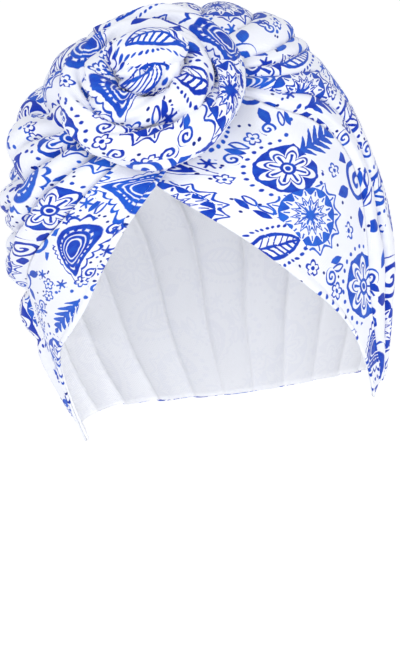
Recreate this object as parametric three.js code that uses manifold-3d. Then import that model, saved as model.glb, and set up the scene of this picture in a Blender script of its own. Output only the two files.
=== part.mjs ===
// Turban headwrap with a coiled rosette. Millimetres, +Z up, the face side towards -Y.
// The origin is the inside top of the crown, where the head that wears it bears.
import * as THREE from 'three';
import { mergeVertices } from 'three/addons/utils/BufferGeometryUtils.js';
import Module from 'manifold-3d';

const wasm = await Module();
wasm.setup();

// Head form that the wrap is cut for, measured from its widest level
const headHalfBreadth = 77;
const headFront = 93;
const headBack = 97;
const headTop = 82;
const headLower = 190;
const napeDrop = 92;
const sideReach = 139;
const napeReach = 148;
const neckCentreBack = 4;

// Cloth and the clearances between its pieces
const clothWall = 1.6;
const headClearance = 0.5;
const layerGap = 0.5;
const seamGap = 1.7;
const tuckGap = 1;

// Gathered crown
const pleatAxisElevation = 51.4;
const crownLoft = 8;
const knotRise = 8;
const pleatHeight = 8;
const pleatFullness = 0.8;

// Front bands: how far the seam beside the pleats stands up, and where round the knot the
// left band comes down off the right one
const seamLoft = 4.5;
const crossingStart = 40;
const crossingEnd = 54;

// Rosette: one roll of cloth coiled inwards, with its end tucked up as a bud
const rosetteSeatElevation = 46;
const rosetteElevation = 45;
const rosetteTurnAside = 6;
const rosetteAside = -3;
const rosetteSink = 1.3;
const coilRadius = 41.7;
const coilPitch = 13.4;
const coilRise = 7;
const coilTurns = 2.75;
const coilStartAngle = 112;
const coilLowestTurn = 0.56;
const rollAcross = 14.2;
const rollTall = 16.8;
const rollStartShare = 0.72;
const rollStartTurns = 0.12;
const rollEndShare = 0.58;
const rollEndTurns = 0.5;
const budLong = 27;
const budWide = 19;
const budTall = 18;
const budUp = 6;
const budAside = 5;
const budRise = 20;

// How finely the cloth and the rolls are drawn
const foldSteps = 6;
const lengthSteps = 18;
const bandAcrossSteps = 5;
const rollSides = 10;
const rollStepAngle = 13;
const budSides = 16;
const budRings = 10;
const halvings = 40;

// Stations down the crown from the knot to the nape, as angles from the knot's axis.
// loft is a share of crownLoft, rise of knotRise, fold of pleatHeight and seam of seamLoft.
const crownStations = [
  { down: 12, loft: 0.1, rise: 0.3, fold: 0.08, seam: 0.1 },
  { down: 22, loft: 0.2, rise: 0.5, fold: 0.2, seam: 0.25 },
  { down: 32, loft: 0.5, rise: 0.95, fold: 0.6, seam: 0.65 },
  { down: 46, loft: 0.85, rise: 0.7, fold: 0.95, seam: 1 },
  { down: 62, loft: 0.6, rise: 0.25, fold: 0.95, seam: 0.9 },
  { down: 85, loft: 0.5, rise: 0, fold: 0.85, seam: 0.6 },
  { down: 108, loft: 0.6, rise: 0, fold: 0.85, seam: 0.45 },
  { down: 126, loft: 0.35, rise: 0, fold: 0.55, seam: 0.25 },
  { down: 148, loft: 0.05, rise: 0, fold: 0.22, seam: 0.05 },
];

// Right band, from under the knot to the side of the neck: angles round the knot's axis
// of its hem (the edge beside the face) and of its rear edge (beside the first pleat).
const rightBandStations = [
  { down: 12, hem: -104, rear: -12 },
  { down: 26, hem: -111, rear: -5 },
  { down: 38, hem: -93, rear: -4 },
  { down: 51, hem: -74.5, rear: 4 },
  { down: 65, hem: -61, rear: 9 },
  { down: 78, hem: -52, rear: 8 },
  { down: 93, hem: -42.5, rear: 2 },
  { down: 111, hem: -30.5, rear: -8.5 },
  { down: 122, hem: -24.5, rear: -11 },
  { down: 134, hem: -19, rear: -9 },
  { down: 148, hem: -15, rear: -4 },
];

// Left band, which crosses over the right one below the knot
const leftBandStations = [
  { down: 12, hem: 296, rear: 254 },
  { down: 26, hem: 286, rear: 249 },
  { down: 38, hem: 267, rear: 235 },
  { down: 51, hem: 250, rear: 219 },
  { down: 61, hem: 242, rear: 208 },
  { down: 72, hem: 234.5, rear: 196.5 },
  { down: 84, hem: 227, rear: 186 },
  { down: 96, hem: 216.5, rear: 179 },
  { down: 108, hem: 203, rear: 179 },
  { down: 120, hem: 195, rear: 182 },
  { down: 134, hem: 192, rear: 184 },
  { down: 148, hem: 191, rear: 181 },
];

// Pleats of the crown from the right band round the back to the left band. A pleat starts
// at a share of the way between the bands, which shifts from atKnot to atSide as it runs
// down. floor is the height of the valley it starts from and crest its own height, both
// shares of pleatHeight, and peak is where across the pleat its crest lies.
const pleats = [
  { atKnot: 0, atSide: 0, floor: 0, crest: 0.55, peak: 0.42 },
  { atKnot: 0.03, atSide: 0.052, floor: 0, crest: 0.85, peak: 0.3 },
  { atKnot: 0.055, atSide: 0.12, floor: 0.5, crest: 0.9, peak: 0.5 },
  { atKnot: 0.08, atSide: 0.19, floor: 0.05, crest: 1.0, peak: 0.36 },
  { atKnot: 0.115, atSide: 0.228, floor: 0.4, crest: 1.35, peak: 0.4 },
  { atKnot: 0.2, atSide: 0.305, floor: 0.45, crest: 1.1, peak: 0.42 },
  { atKnot: 0.29, atSide: 0.38, floor: 0.2, crest: 0.9, peak: 0.5 },
  { atKnot: 0.38, atSide: 0.455, floor: 0, crest: 0.95, peak: 0.5 },
  { atKnot: 0.47, atSide: 0.53, floor: 0.05, crest: 0.9, peak: 0.5 },
  { atKnot: 0.56, atSide: 0.605, floor: 0.1, crest: 0.85, peak: 0.56 },
  { atKnot: 0.65, atSide: 0.68, floor: 0, crest: 1.1, peak: 0.62 },
  { atKnot: 0.74, atSide: 0.755, floor: 0, crest: 1.0, peak: 0.66 },
  { atKnot: 0.83, atSide: 0.855, floor: 0, crest: 1.0, peak: 0.62 },
  { atKnot: 0.92, atSide: 0.955, floor: 0, crest: 0.8, peak: 0.45 },
];
const pleatShiftStart = 26;
const pleatShiftEnd = 64;
const edgeBlendShare = 0.07;

const RIGHT = new THREE.Vector3(1, 0, 0);
const degrees = THREE.MathUtils.degToRad;
const mix = THREE.MathUtils.lerp;
const smooth = THREE.MathUtils.smoothstep;

// Value of one named column of a table of stations, on a smooth curve through its rows
function column(rows, down, name) {
  const last = rows.length - 1;
  const at = THREE.MathUtils.clamp(down, rows[0].down, rows[last].down);
  let i = 0;
  while (i < last - 1 && at > rows[i + 1].down) {
    i += 1;
  }
  const slope = (k) => {
    const before = rows[Math.max(k - 1, 0)];
    const after = rows[Math.min(k + 1, last)];
    return (after[name] - before[name]) / (after.down - before.down);
  };
  const span = rows[i + 1].down - rows[i].down;
  const t = (at - rows[i].down) / span;
  const rise = rows[i + 1][name] - rows[i][name];
  const a = slope(i) * span - rise;
  const b = rise - slope(i + 1) * span;
  return rows[i][name] + rise * t + t * (1 - t) * (a * (1 - t) + b * t);
}

// The head form: half an ellipsoid in front and behind, and another above and below
function formSize(point) {
  return new THREE.Vector3(
    headHalfBreadth,
    point.y < 0 ? headFront : headBack,
    point.z > 0 ? headTop : headLower,
  );
}

function formReach(from, direction) {
  let near = 0;
  let far = 2 * headLower;
  for (let i = 0; i < halvings; i += 1) {
    const middle = (near + far) / 2;
    const point = from.clone().addScaledVector(direction, middle);
    if (point.divide(formSize(point)).lengthSq() < 1) {
      near = middle;
    } else {
      far = middle;
    }
  }
  return from.clone().addScaledVector(direction, near);
}

function formNormal(point) {
  const size = formSize(point);
  return point.clone().divide(size).divide(size).normalize();
}

// The axis of the pleats runs from behind the rosette to the middle of the neck opening
function frontOfForm(elevation) {
  const direction = new THREE.Vector3(0, -Math.cos(degrees(elevation)), Math.sin(degrees(elevation)));
  return formReach(new THREE.Vector3(), direction);
}

const neckCentre = new THREE.Vector3(0, neckCentreBack, -napeDrop);
const knotAxis = frontOfForm(pleatAxisElevation).sub(neckCentre).normalize();
const axisCentre = neckCentre.clone().addScaledVector(knotAxis, -neckCentre.dot(knotAxis));
const axisBack = knotAxis.clone().cross(RIGHT);

// The wrap's own frame starts at the inside top of the crown
const crownTop = headTop + headClearance;

function clothPoint(down, around, lift) {
  const radial = RIGHT.clone().multiplyScalar(Math.cos(degrees(around)));
  radial.addScaledVector(axisBack, Math.sin(degrees(around)));
  const direction = knotAxis.clone().multiplyScalar(Math.cos(degrees(down)));
  direction.addScaledVector(radial, Math.sin(degrees(down)));
  const point = formReach(axisCentre, direction);
  point.addScaledVector(formNormal(point), lift);
  point.z -= crownTop;
  return point;
}

const restLift = headClearance + clothWall / 2;
const firstDown = crownStations[0].down;

// Angle round the axis that a length of cloth takes up at one station
function seamAngle(down) {
  return THREE.MathUtils.radToDeg(seamGap / (headHalfBreadth * Math.sin(degrees(down))));
}

function crownEdges(down) {
  return {
    right: column(rightBandStations, down, 'rear') + seamAngle(down),
    left: column(leftBandStations, down, 'rear') - seamAngle(down),
  };
}

function pleatStart(index, down) {
  if (index === pleats.length) {
    return 1;
  }
  const shift = smooth(down, pleatShiftStart, pleatShiftEnd);
  return mix(pleats[index].atKnot, pleats[index].atSide, shift);
}

// Height of one pleat over the loft, as a share of pleatHeight; turn runs from 0 to 1 over it
function pleatProfile(index, turn) {
  const pleat = pleats[index];
  const floorEnd = index + 1 < pleats.length ? pleats[index + 1].floor : pleats[0].floor;
  const floor = mix(pleat.floor, floorEnd, turn);
  return mix(floor, pleat.crest, Math.sin(Math.PI * turn) ** pleatFullness);
}

function pleatAcross(index, turn) {
  const { peak } = pleats[index];
  return turn < 0.5 ? 2 * turn * peak : peak + (2 * turn - 1) * (1 - peak);
}

function crownPoint(step, index, turn) {
  const sideShare = mix(pleatStart(index, pleatShiftEnd), pleatStart(index + 1, pleatShiftEnd), turn);
  const down = downAt(step, firstDown, sideShare);
  const edges = crownEdges(down);
  const share = mix(pleatStart(index, down), pleatStart(index + 1, down), pleatAcross(index, turn));
  const inward = smooth(Math.min(share, 1 - share), 0, edgeBlendShare);
  const seam = seamLoft * column(crownStations, down, 'seam');
  const loft = crownLoft * column(crownStations, down, 'loft');
  const around = mix(edges.right, edges.left, share);
  const rise = knotRise * column(crownStations, down, 'rise') * Math.max(0, Math.sin(degrees(around)));
  const fold = pleatHeight * column(crownStations, down, 'fold') * pleatProfile(index, turn);
  return clothPoint(down, around, restLift + mix(seam, loft, inward) + rise + fold);
}

// A wall of cloth: a grid of points on its middle surface is thickened to both sides
function clothWallGeometry(grid) {
  const rows = grid.length;
  const columns = grid[0].length;
  const positions = [];
  const sideOf = (side) => {
    for (let r = 0; r < rows; r += 1) {
      for (let c = 0; c < columns; c += 1) {
        const along = grid[Math.min(r + 1, rows - 1)][c].clone().sub(grid[Math.max(r - 1, 0)][c]);
        const across = grid[r][Math.min(c + 1, columns - 1)].clone().sub(grid[r][Math.max(c - 1, 0)]);
        const normal = along.cross(across).normalize();
        positions.push(...grid[r][c].clone().addScaledVector(normal, side * clothWall / 2).toArray());
      }
    }
  };
  sideOf(1);
  sideOf(-1);
  const outer = (r, c) => r * columns + c;
  const inner = (r, c) => rows * columns + outer(r, c);
  const faces = [];
  const quad = (a, b, c, d) => faces.push(a, b, c, a, c, d);
  for (let r = 0; r < rows - 1; r += 1) {
    for (let c = 0; c < columns - 1; c += 1) {
      quad(outer(r, c), outer(r + 1, c), outer(r + 1, c + 1), outer(r, c + 1));
      quad(inner(r, c), inner(r, c + 1), inner(r + 1, c + 1), inner(r + 1, c));
    }
    quad(outer(r, 0), inner(r, 0), inner(r + 1, 0), outer(r + 1, 0));
    quad(outer(r + 1, columns - 1), inner(r + 1, columns - 1), inner(r, columns - 1), outer(r, columns - 1));
  }
  for (let c = 0; c < columns - 1; c += 1) {
    quad(outer(0, c + 1), inner(0, c + 1), inner(0, c), outer(0, c));
    quad(outer(rows - 1, c), inner(rows - 1, c), inner(rows - 1, c + 1), outer(rows - 1, c + 1));
  }
  const geometry = new THREE.BufferGeometry();
  geometry.setAttribute('position', new THREE.Float32BufferAttribute(positions, 3));
  geometry.setIndex(faces);
  return geometry;
}

// The lower hem reaches further round the form at the nape than at the sides of the neck
function downAt(step, from, share) {
  const reach = mix(sideReach, napeReach, Math.sin(Math.PI * share));
  return mix(from, reach, step / lengthSteps);
}

function crownGeometry() {
  const grid = [];
  for (let r = 0; r <= lengthSteps; r += 1) {
    const row = [];
    for (let index = 0; index < pleats.length; index += 1) {
      for (let s = 0; s < foldSteps; s += 1) {
        row.push(crownPoint(r, index, s / foldSteps));
      }
    }
    row.push(crownPoint(r, pleats.length - 1, 1));
    grid.push(row);
  }
  return clothWallGeometry(grid);
}

// A band lies on the head at its hem and rises to the pleats' level at its rear edge
function bandPoint(stations, down, across, layer) {
  const around = mix(column(stations, down, 'hem'), column(stations, down, 'rear'), across);
  const rise = seamLoft * column(crownStations, down, 'seam') * across * across;
  return clothPoint(down, around, restLift + rise + layer);
}

function bandGeometry(stations, crossesOver) {
  const grid = [];
  for (let r = 0; r <= lengthSteps; r += 1) {
    const down = downAt(r, stations[0].down, 0);
    const over = crossesOver ? 1 - smooth(down, crossingStart, crossingEnd) : 0;
    const row = [];
    for (let s = 0; s <= bandAcrossSteps; s += 1) {
      const across = crossesOver ? 1 - s / bandAcrossSteps : s / bandAcrossSteps;
      row.push(bandPoint(stations, down, across, over * (clothWall + layerGap)));
    }
    grid.push(row);
  }
  return clothWallGeometry(grid);
}

// The rosette's own axes: outward from its middle, to its right and up along its face
const rosetteOut = new THREE.Vector3(
  Math.sin(degrees(rosetteTurnAside)) * Math.cos(degrees(rosetteElevation)),
  -Math.cos(degrees(rosetteTurnAside)) * Math.cos(degrees(rosetteElevation)),
  Math.sin(degrees(rosetteElevation)),
);
const rosetteRight = new THREE.Vector3(0, 0, 1).cross(rosetteOut).normalize();
const rosetteUp = rosetteOut.clone().cross(rosetteRight).normalize();

// Its rolls lie on both bands where they cross; their rims sink a little past that level,
// because the head curves away under them
const rosetteSeat = headClearance + 2 * clothWall + 2 * layerGap - rosetteSink + rollTall / 2;
const rosetteCentre = frontOfForm(rosetteSeatElevation).addScaledVector(rosetteOut, rosetteSeat);
rosetteCentre.addScaledVector(rosetteRight, rosetteAside);
rosetteCentre.z -= crownTop;

function rosettePoint(radius, angle, height) {
  const point = rosetteCentre.clone().addScaledVector(rosetteOut, height);
  point.addScaledVector(rosetteRight, radius * Math.cos(degrees(angle)));
  return point.addScaledVector(rosetteUp, radius * Math.sin(degrees(angle)));
}

// A closed roll through rings of points, with both ends capped
function rollGeometry(rings) {
  const sides = rings[0].length;
  const positions = rings.flat().flatMap((point) => point.toArray());
  const faces = [];
  for (let r = 0; r < rings.length - 1; r += 1) {
    for (let s = 0; s < sides; s += 1) {
      const next = (s + 1) % sides;
      const a = r * sides;
      faces.push(a + s, a + next, a + sides + next);
      faces.push(a + s, a + sides + next, a + sides + s);
    }
  }
  const end = (rings.length - 1) * sides;
  for (let s = 1; s < sides - 1; s += 1) {
    faces.push(0, s + 1, s);
    faces.push(end, end + s, end + s + 1);
  }
  const geometry = new THREE.BufferGeometry();
  geometry.setAttribute('position', new THREE.Float32BufferAttribute(positions, 3));
  geometry.setIndex(faces);
  return geometry;
}

// Share of the roll's full section along the coil: its two ends are tucked in and thinner
function coilFullness(turn) {
  const start = mix(rollStartShare, 1, smooth(turn, 0, rollStartTurns));
  const end = mix(rollEndShare, 1, smooth(coilTurns - turn, 0, rollEndTurns));
  return start * end;
}

function coilGeometry(clearance) {
  const turns = coilTurns + clearance / coilPitch;
  const steps = Math.round(turns * 360 / rollStepAngle);
  const rings = [];
  for (let r = 0; r <= steps; r += 1) {
    const turn = turns * r / steps;
    const radius = coilRadius - coilPitch * turn;
    const angle = coilStartAngle - 360 * turn;
    const full = coilFullness(turn);
    const ring = [];
    for (let s = 0; s < rollSides; s += 1) {
      const round = 2 * Math.PI * s / rollSides;
      const outward = (full * rollAcross / 2 + clearance) * Math.cos(round);
      const upward = (full * rollTall / 2 + clearance) * Math.sin(round);
      ring.push(rosettePoint(radius + outward, angle, coilRise * (turn - coilLowestTurn) + upward));
    }
    rings.push(ring);
  }
  return rollGeometry(rings);
}

function toSolid(geometry) {
  const bare = geometry.clone();
  bare.deleteAttribute('normal');
  bare.deleteAttribute('uv');
  const merged = mergeVertices(bare);
  return new wasm.Manifold(new wasm.Mesh({
    numProp: 3,
    vertProperties: new Float32Array(merged.attributes.position.array),
    triVerts: new Uint32Array(merged.index.array),
  }));
}

function fromSolid(solid) {
  const mesh = solid.getMesh();
  const geometry = new THREE.BufferGeometry();
  geometry.setAttribute('position', new THREE.Float32BufferAttribute(mesh.vertProperties, 3));
  geometry.setIndex(new THREE.Uint32BufferAttribute(mesh.triVerts, 1));
  return geometry;
}

// The bud fills the middle of the coil, pressed to the shape that the coil leaves it
function budGeometry() {
  const ball = new THREE.SphereGeometry(0.5, budSides, budRings);
  ball.scale(budLong, budWide, budTall);
  ball.applyMatrix4(new THREE.Matrix4().makeBasis(rosetteRight, rosetteUp, rosetteOut));
  const middle = rosettePoint(0, 0, budRise);
  middle.addScaledVector(rosetteUp, budUp).addScaledVector(rosetteRight, budAside);
  ball.translate(middle.x, middle.y, middle.z);
  return fromSolid(toSolid(ball).subtract(toSolid(coilGeometry(tuckGap))));
}

function clothMaterial(colour) {
  return new THREE.MeshStandardMaterial({ color: colour, roughness: 0.85, metalness: 0 });
}

function piece(name, geometry, colour) {
  const mesh = new THREE.Mesh(geometry, clothMaterial(colour));
  mesh.name = name;
  return mesh;
}

const turban = new THREE.Group();
turban.add(piece('crown_cap', crownGeometry(), 0xe9edf8));
turban.add(piece('front_band_right', bandGeometry(rightBandStations, false), 0xdfe6f7));
turban.add(piece('front_band_left', bandGeometry(leftBandStations, true), 0xd6dff5));

const rosette = new THREE.Group();
rosette.add(piece('rosette_coil', coilGeometry(0), 0xc9d6f2));
rosette.add(piece('rosette_bud', budGeometry(), 0xbccdf0));
turban.add(rosette);

export default turban;
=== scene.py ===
import math

import bpy
import numpy as np
from mathutils import Matrix, Vector


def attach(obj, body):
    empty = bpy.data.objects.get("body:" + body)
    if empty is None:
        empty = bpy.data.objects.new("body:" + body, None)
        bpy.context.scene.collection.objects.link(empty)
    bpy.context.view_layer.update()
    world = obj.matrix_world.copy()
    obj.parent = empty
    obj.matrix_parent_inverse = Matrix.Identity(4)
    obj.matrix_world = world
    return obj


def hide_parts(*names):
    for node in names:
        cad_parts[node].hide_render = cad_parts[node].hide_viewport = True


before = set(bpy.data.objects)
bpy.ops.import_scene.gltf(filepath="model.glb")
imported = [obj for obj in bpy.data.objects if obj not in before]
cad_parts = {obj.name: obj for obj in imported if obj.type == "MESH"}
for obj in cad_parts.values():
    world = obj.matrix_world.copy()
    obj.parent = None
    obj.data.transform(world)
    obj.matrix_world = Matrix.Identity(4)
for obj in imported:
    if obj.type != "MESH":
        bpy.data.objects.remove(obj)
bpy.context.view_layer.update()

# A turban headwrap in printed jersey: a gathered crown, two bands that cross, and a coiled
# rosette over their crossing. Lengths are in millimetres unless a comment says otherwise.
MM = 0.001
BODY = "root"

# Form that the wrap is cut for, measured from its widest level
HEAD_HALF_BREADTH = 77.0
HEAD_FRONT = 93.0
HEAD_BACK = 97.0
HEAD_TOP = 82.0
HEAD_LOWER = 190.0
NAPE_DROP = 92.0
SIDE_REACH = 139.0
NAPE_REACH = 148.0
NECK_CENTRE_BACK = 4.0
HEAD_CLEARANCE = 0.5

# Cloth
CLOTH_WALL = 1.5
LAYER_GAP = 0.5
SEAM_GAP = 1.0
SEAM_LOFT = 4.5

# Hem bead and the dip along its stitches, placed by shares of the band's width
HEM_BEAD = 0.7
HEM_WIDTH = 0.035
HEM_DIP = 0.4
HEM_DIP_WIDTH = 0.02
STITCH_IN = 0.11
STITCH_PITCH = 2.6
STITCH_LENGTH = 1.7
THREAD = 0.42
STITCH_SIDES = 6
STITCH_RINGS = 4

# Small wrinkles that run down the cloth, and how high they stand in the bands
RIPPLE_WAVES = 7
RIPPLES_ROUND = (6, 17)
RIPPLE_DRIFT = 0.05
RIPPLE_SWELLS = (2, 6)
BAND_RIPPLE = 0.25
BAND_RIPPLE_STRETCH = 0.9
BAND_RIPPLE_DEPTH = 0.6
BAND_GATHER = 0.9
BAND_GATHER_START = 34
BAND_GATHER_END = 80
RIGHT_BAND_SEED = 5
LEFT_BAND_SEED = 9

# Gathered crown, its starts and ends in degrees down from the knot's axis
PLEAT_AXIS_ELEVATION = 51.4
CROWN_LOFT = 8.0
KNOT_RISE = 8.0
PLEAT_HEIGHT = 8.6
PLEAT_OVERHANG = 0.15
PLEAT_PRINT_STEP = 61.0
RIPPLE = 0.55
PLEAT_RIPPLE_STRETCH = 1.6
PLEAT_SEED = 11
CROSSING_START = 40.0
CROSSING_END = 54.0
PLEAT_SHIFT_START = 26.0
PLEAT_SHIFT_END = 64.0
PLEAT_SWEEP_START = 52.0
PLEAT_SWEEP_END = 106.0
EDGE_BLEND_SHARE = 0.07

# Rosette, its angles in degrees, with folds and creases as shares of the roll's thickness
ROSETTE_SEAT_ELEVATION = 46.0
ROSETTE_ELEVATION = 45.0
ROSETTE_TURN_ASIDE = 6.0
ROSETTE_ASIDE = -3.0
ROSETTE_SEAT = 11.8
COIL_RADIUS = 41.7
COIL_PITCH = 13.4
COIL_RISE = 7.0
COIL_TURNS = 2.75
COIL_START_ANGLE = 112.0
COIL_LOWEST_TURN = 0.56
ROLL_ACROSS = 15.4
ROLL_TALL = 17.2
ROLL_TWISTS = 2.1
ROLL_GROOVE = 0.34
ROLL_SWELL = 0.07
ROLL_SWELLS = 2.3
ROLL_START = 0.72
ROLL_START_TURNS = 0.12
ROLL_END = 0.8
ROLL_END_TURNS = 0.5
ROLL_FOLDS = 3
ROLL_FOLD_POWER = 0.45
ROLL_FOLD_MEAN = 0.75
CREASE_SHARE = 0.35
CREASES_ROUND = 7
CREASE_TWISTS = 5
CREASE_SWELLS = 2.3

# End of the roll, its fold and its curl placed by shares of its half sizes
BUD_LONG = 36.0
BUD_WIDE = 23.0
BUD_TALL = 18.0
BUD_UP = 4.5
BUD_ASIDE = 5.0
BUD_RISE = 19.0
BUD_FOLD = 0.12
BUD_FOLD_UP = -0.25
BUD_FOLD_SLANT = 0.35
BUD_FOLD_WIDTH = 0.16
BUD_CURL = 0.3
BUD_CURL_ASIDE = 0.42
BUD_CURL_UP = -0.3
BUD_CURL_SPREAD = 0.05
BUD_RIPPLE = 0.02
BUD_RIPPLES_ROUND = 5
BUD_RIPPLES_ALONG = 3

# How finely the cloth is drawn
FOLD_STEPS = 20
CROWN_ROWS = 150
BAND_ROWS = 130
BAND_COLUMNS = 72
ROLL_SIDES = 48
ROLL_RINGS = 330
BUD_SIDES = 64
BUD_RINGS = 40
BUD_POLE = 0.02
REACH_HALVINGS = 40


def table(columns, rows):
    """A table of stations as one array for each named column."""
    return dict(zip(columns.split(), np.array(rows, float).T))


# loft is a share of CROWN_LOFT, rise of KNOT_RISE, fold of PLEAT_HEIGHT and seam of SEAM_LOFT
CROWN_STATIONS = table("down loft rise fold seam", [
    (12, 0.10, 0.30, 0.08, 0.10),
    (22, 0.20, 0.50, 0.20, 0.25),
    (32, 0.50, 0.95, 0.60, 0.65),
    (46, 0.85, 0.70, 0.95, 1.00),
    (62, 0.60, 0.25, 0.95, 0.90),
    (85, 0.50, 0.00, 0.85, 0.60),
    (108, 0.60, 0.00, 0.85, 0.45),
    (126, 0.35, 0.00, 0.55, 0.25),
    (148, 0.05, 0.00, 0.22, 0.05),
])

# Degrees down from the knot's axis, and round it to each band's hem beside the front opening
# and to its rear edge
RIGHT_BAND = table("down hem rear", [
    (12, -104, -12),
    (26, -111, -5),
    (38, -93, -4),
    (51, -74.5, 4),
    (65, -61, 9),
    (78, -52, 8),
    (93, -42.5, 2),
    (111, -30.5, -8.5),
    (122, -24.5, -11),
    (134, -19, -9),
    (148, -15, -4),
])
LEFT_BAND = table("down hem rear", [
    (12, 296, 254),
    (26, 286, 249),
    (38, 267, 235),
    (51, 250, 219),
    (61, 242, 208),
    (72, 234.5, 196.5),
    (84, 227, 186),
    (96, 216.5, 179),
    (108, 203, 179),
    (120, 195, 182),
    (134, 192, 184),
    (148, 191, 181),
])

# Where each pleat starts between the bands, near the knot, at the side and at the neck,
# how high its valley and crest stand, where across it the crest lies, and how soft its
# slopes are
PLEATS = table("at_knot at_side at_hem floor crest peak slope", [
    (0.000, 0.000, 0.000, 0.00, 0.55, 0.42, 0.74),
    (0.030, 0.052, 0.052, 0.00, 0.85, 0.30, 0.74),
    (0.055, 0.120, 0.120, 0.50, 0.90, 0.50, 0.74),
    (0.080, 0.190, 0.190, 0.05, 1.00, 0.36, 0.74),
    (0.115, 0.228, 0.228, 0.40, 1.35, 0.40, 0.74),
    (0.200, 0.305, 0.300, 0.45, 1.10, 0.42, 0.74),
    (0.290, 0.380, 0.368, 0.20, 0.90, 0.50, 0.74),
    (0.380, 0.455, 0.435, 0.00, 0.95, 0.50, 0.74),
    (0.470, 0.530, 0.500, 0.05, 0.90, 0.50, 0.74),
    (0.560, 0.605, 0.560, 0.00, 0.90, 0.56, 0.74),
    (0.650, 0.690, 0.620, -0.30, 1.05, 0.56, 0.85),
    (0.740, 0.775, 0.700, -0.50, 1.08, 0.54, 0.95),
    (0.830, 0.865, 0.785, -0.60, 1.05, 0.52, 1.00),
    (0.920, 0.945, 0.885, -0.60, 1.00, 0.50, 1.00),
])
PLEAT_COUNT = len(PLEATS["floor"])

# Creases that cross the pleats on the left side: how far down each lies, and its depth
GATHERS = ((33, 0.55), (56, 0.75), (75, 0.75), (97, 0.65), (115, 0.4))
GATHER_WIDTH = 4.2
GATHER_SLANT = 0.35
GATHER_POWER = 1.3
GATHER_CENTRE = 170.0
GATHER_BACK = 118.0
GATHER_MIDDLE = 156.0
GATHER_FRONT = (178.0, 198.0)


def mix(a, b, share):
    return a + (b - a) * share


def smooth(value, start, end):
    share = np.clip((value - start) / (end - start), 0, 1)
    return share * share * (3 - 2 * share)


def column(stations, down, name):
    """Value of a column at some angles down, on a smooth curve through the table's rows."""
    x = stations["down"]
    y = stations[name]
    at = np.clip(down, x[0], x[-1])
    row = np.clip(np.searchsorted(x, at, side="right") - 1, 0, len(x) - 2)
    slope = np.gradient(y, x)
    slope[1:-1] = (y[2:] - y[:-2]) / (x[2:] - x[:-2])
    span = x[row + 1] - x[row]
    t = (at - x[row]) / span
    rise = y[row + 1] - y[row]
    a = slope[row] * span - rise
    b = rise - slope[row + 1] * span
    return y[row] + rise * t + t * (1 - t) * (a * (1 - t) + b * t)


def form_size(points):
    """Half sizes of the form on the side of its centre where each point lies."""
    size = np.empty_like(points)
    size[..., 0] = HEAD_HALF_BREADTH
    size[..., 1] = np.where(points[..., 1] < 0, HEAD_FRONT, HEAD_BACK)
    size[..., 2] = np.where(points[..., 2] > 0, HEAD_TOP, HEAD_LOWER)
    return size


def form_reach(start, direction):
    near = np.zeros(direction.shape[:-1] + (1,))
    far = np.full_like(near, 2 * HEAD_LOWER)
    for _ in range(REACH_HALVINGS):
        middle = (near + far) / 2
        points = start + direction * middle
        inside = np.sum((points / form_size(points)) ** 2, axis=-1, keepdims=True) < 1
        near = np.where(inside, middle, near)
        far = np.where(inside, far, middle)
    return start + direction * near


def unit(vectors):
    return vectors / np.linalg.norm(vectors, axis=-1, keepdims=True)


def front_of_form(elevation):
    angle = math.radians(elevation)
    return form_reach(np.zeros(3), np.array([0, -math.cos(angle), math.sin(angle)]))


RIGHT = np.array([1.0, 0.0, 0.0])
NECK_CENTRE = np.array([0, NECK_CENTRE_BACK, -NAPE_DROP])
KNOT_AXIS = unit(front_of_form(PLEAT_AXIS_ELEVATION) - NECK_CENTRE)
AXIS_CENTRE = NECK_CENTRE - KNOT_AXIS * NECK_CENTRE.dot(KNOT_AXIS)
AXIS_BACK = np.cross(KNOT_AXIS, RIGHT)
CROWN_TOP = HEAD_TOP + HEAD_CLEARANCE
REST_LIFT = HEAD_CLEARANCE + CLOTH_WALL / 2


def cloth_point(down, around, lift):
    """A point of cloth at two angles about the knot's axis, lifted off the form."""
    down, around, lift = np.broadcast_arrays(down, around, lift)
    d = np.radians(down)[..., None]
    a = np.radians(around)[..., None]
    radial = RIGHT * np.cos(a) + AXIS_BACK * np.sin(a)
    on_form = form_reach(AXIS_CENTRE, KNOT_AXIS * np.cos(d) + radial * np.sin(d))
    normal = unit(on_form / form_size(on_form) ** 2)
    points = on_form + normal * lift[..., None]
    points[..., 2] -= CROWN_TOP
    return points


def down_at(step, start, share):
    reach = mix(SIDE_REACH, NAPE_REACH, np.sin(math.pi * share))
    return mix(start, reach, step)


def ripples(down, around, seed):
    """Small soft wrinkles that run down the cloth, about -1 to 1."""
    random = np.random.default_rng(seed)
    total = np.zeros(np.broadcast(down, around).shape)
    for _ in range(RIPPLE_WAVES):
        across = random.uniform(*RIPPLES_ROUND)
        drift = random.uniform(-RIPPLE_DRIFT, RIPPLE_DRIFT)
        phase = random.uniform(0, 2 * math.pi)
        swell = np.sin(np.radians(down) * random.uniform(*RIPPLE_SWELLS) + phase * 2)
        total = total + np.sin(np.radians(around) * across + down * drift + phase) * swell
    return total / math.sqrt(RIPPLE_WAVES)


def arc_lengths(points, axis):
    """Running length of a grid of points along one of its axes."""
    steps = np.linalg.norm(np.diff(points, axis=axis), axis=-1)
    start = np.zeros_like(np.take(steps, [0], axis=axis))
    return np.concatenate([start, np.cumsum(steps, axis=axis)], axis=axis)


def vertex_normals(points):
    along = np.gradient(points, axis=0)
    across = np.gradient(points, axis=1)
    return unit(np.cross(along, across))


def add_piece(name, mesh):
    """A smooth object of its own for a mesh, at the origin."""
    mesh.shade_smooth()
    mesh.update()
    piece = bpy.data.objects.new(name, mesh)
    bpy.context.scene.collection.objects.link(piece)
    return piece


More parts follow.
